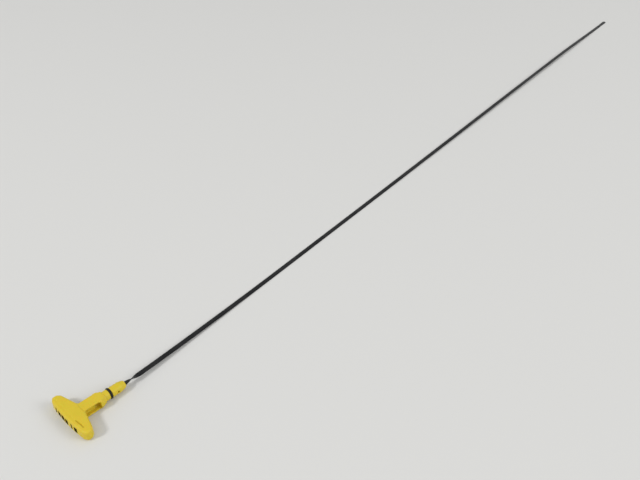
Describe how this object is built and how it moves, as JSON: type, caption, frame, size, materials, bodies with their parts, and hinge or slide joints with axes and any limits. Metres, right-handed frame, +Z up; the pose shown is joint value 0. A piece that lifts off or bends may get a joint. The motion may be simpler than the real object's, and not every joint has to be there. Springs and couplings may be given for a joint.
{
  "type": "engine oil dipstick",
  "caption": "Engine oil dipstick: moulded T-handle with sealing plug and rubber ring, long twisted steel blade with level holes and rounded tip.",
  "frame": {"origin": "centre of the seat on the handle's axis, where the collar meets the mouth of the dipstick tube", "axes": "+X along the blade towards its tip, +Y across it towards one end of the crossbar, +Z up from the table that the dipstick lies on; the handle's own axis dips half a degree and turns 5 degrees from +X, as it lies"},
  "size_m": [1.223, 0.0588, 0.012],
  "materials": {
    "yellow_nylon": "moulded yellow nylon, satin",
    "black_rubber": "black nitrile rubber, slightly oily",
    "dark_steel": "dark oil-blackened strip steel"
  },
  "bodies": {
    "root": {"handle": "yellow_nylon", "o_ring": "black_rubber", "blade": "dark_steel"}
  },
  "joints": []
}
